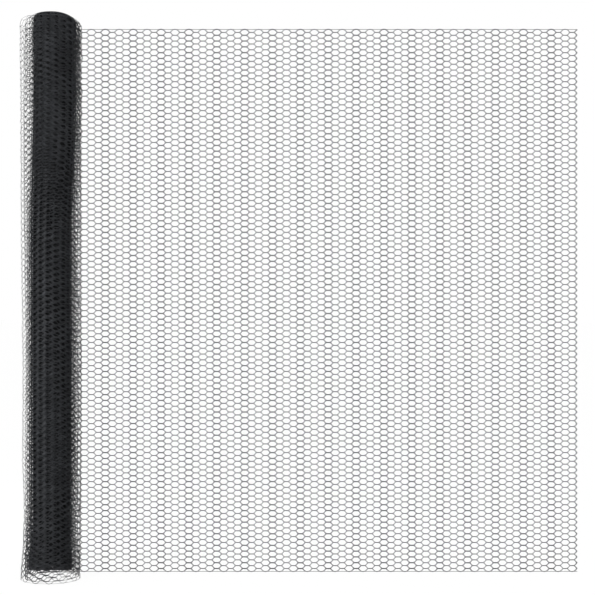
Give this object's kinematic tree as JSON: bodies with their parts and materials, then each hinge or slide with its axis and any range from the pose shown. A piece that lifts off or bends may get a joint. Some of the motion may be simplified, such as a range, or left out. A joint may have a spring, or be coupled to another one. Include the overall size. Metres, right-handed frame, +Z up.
{
  "type": "roll of chicken wire",
  "caption": "Roll of dark plastic-coated hexagonal wire netting that stands on its end, tightly wound round an open bore, with slack outer turns and a flat length drawn out from it",
  "frame": {"origin": "On the floor, at the middle of the footprint of the roll and its flat run together", "axes": "+Z up along the roll's axis, +X from the roll along the flat run to its cut end, +Y from the front of the roll to its back, where the flat run leaves it"},
  "size_m": [1.2177, 0.1376, 1.2169],
  "materials": {
    "coated_wire": "steel wire in a dark grey plastic coat with a low sheen"
  },
  "bodies": {
    "root": {"tight_turns": "coated_wire", "slack_turns": "coated_wire", "flat_run": "coated_wire"}
  },
  "joints": []
}
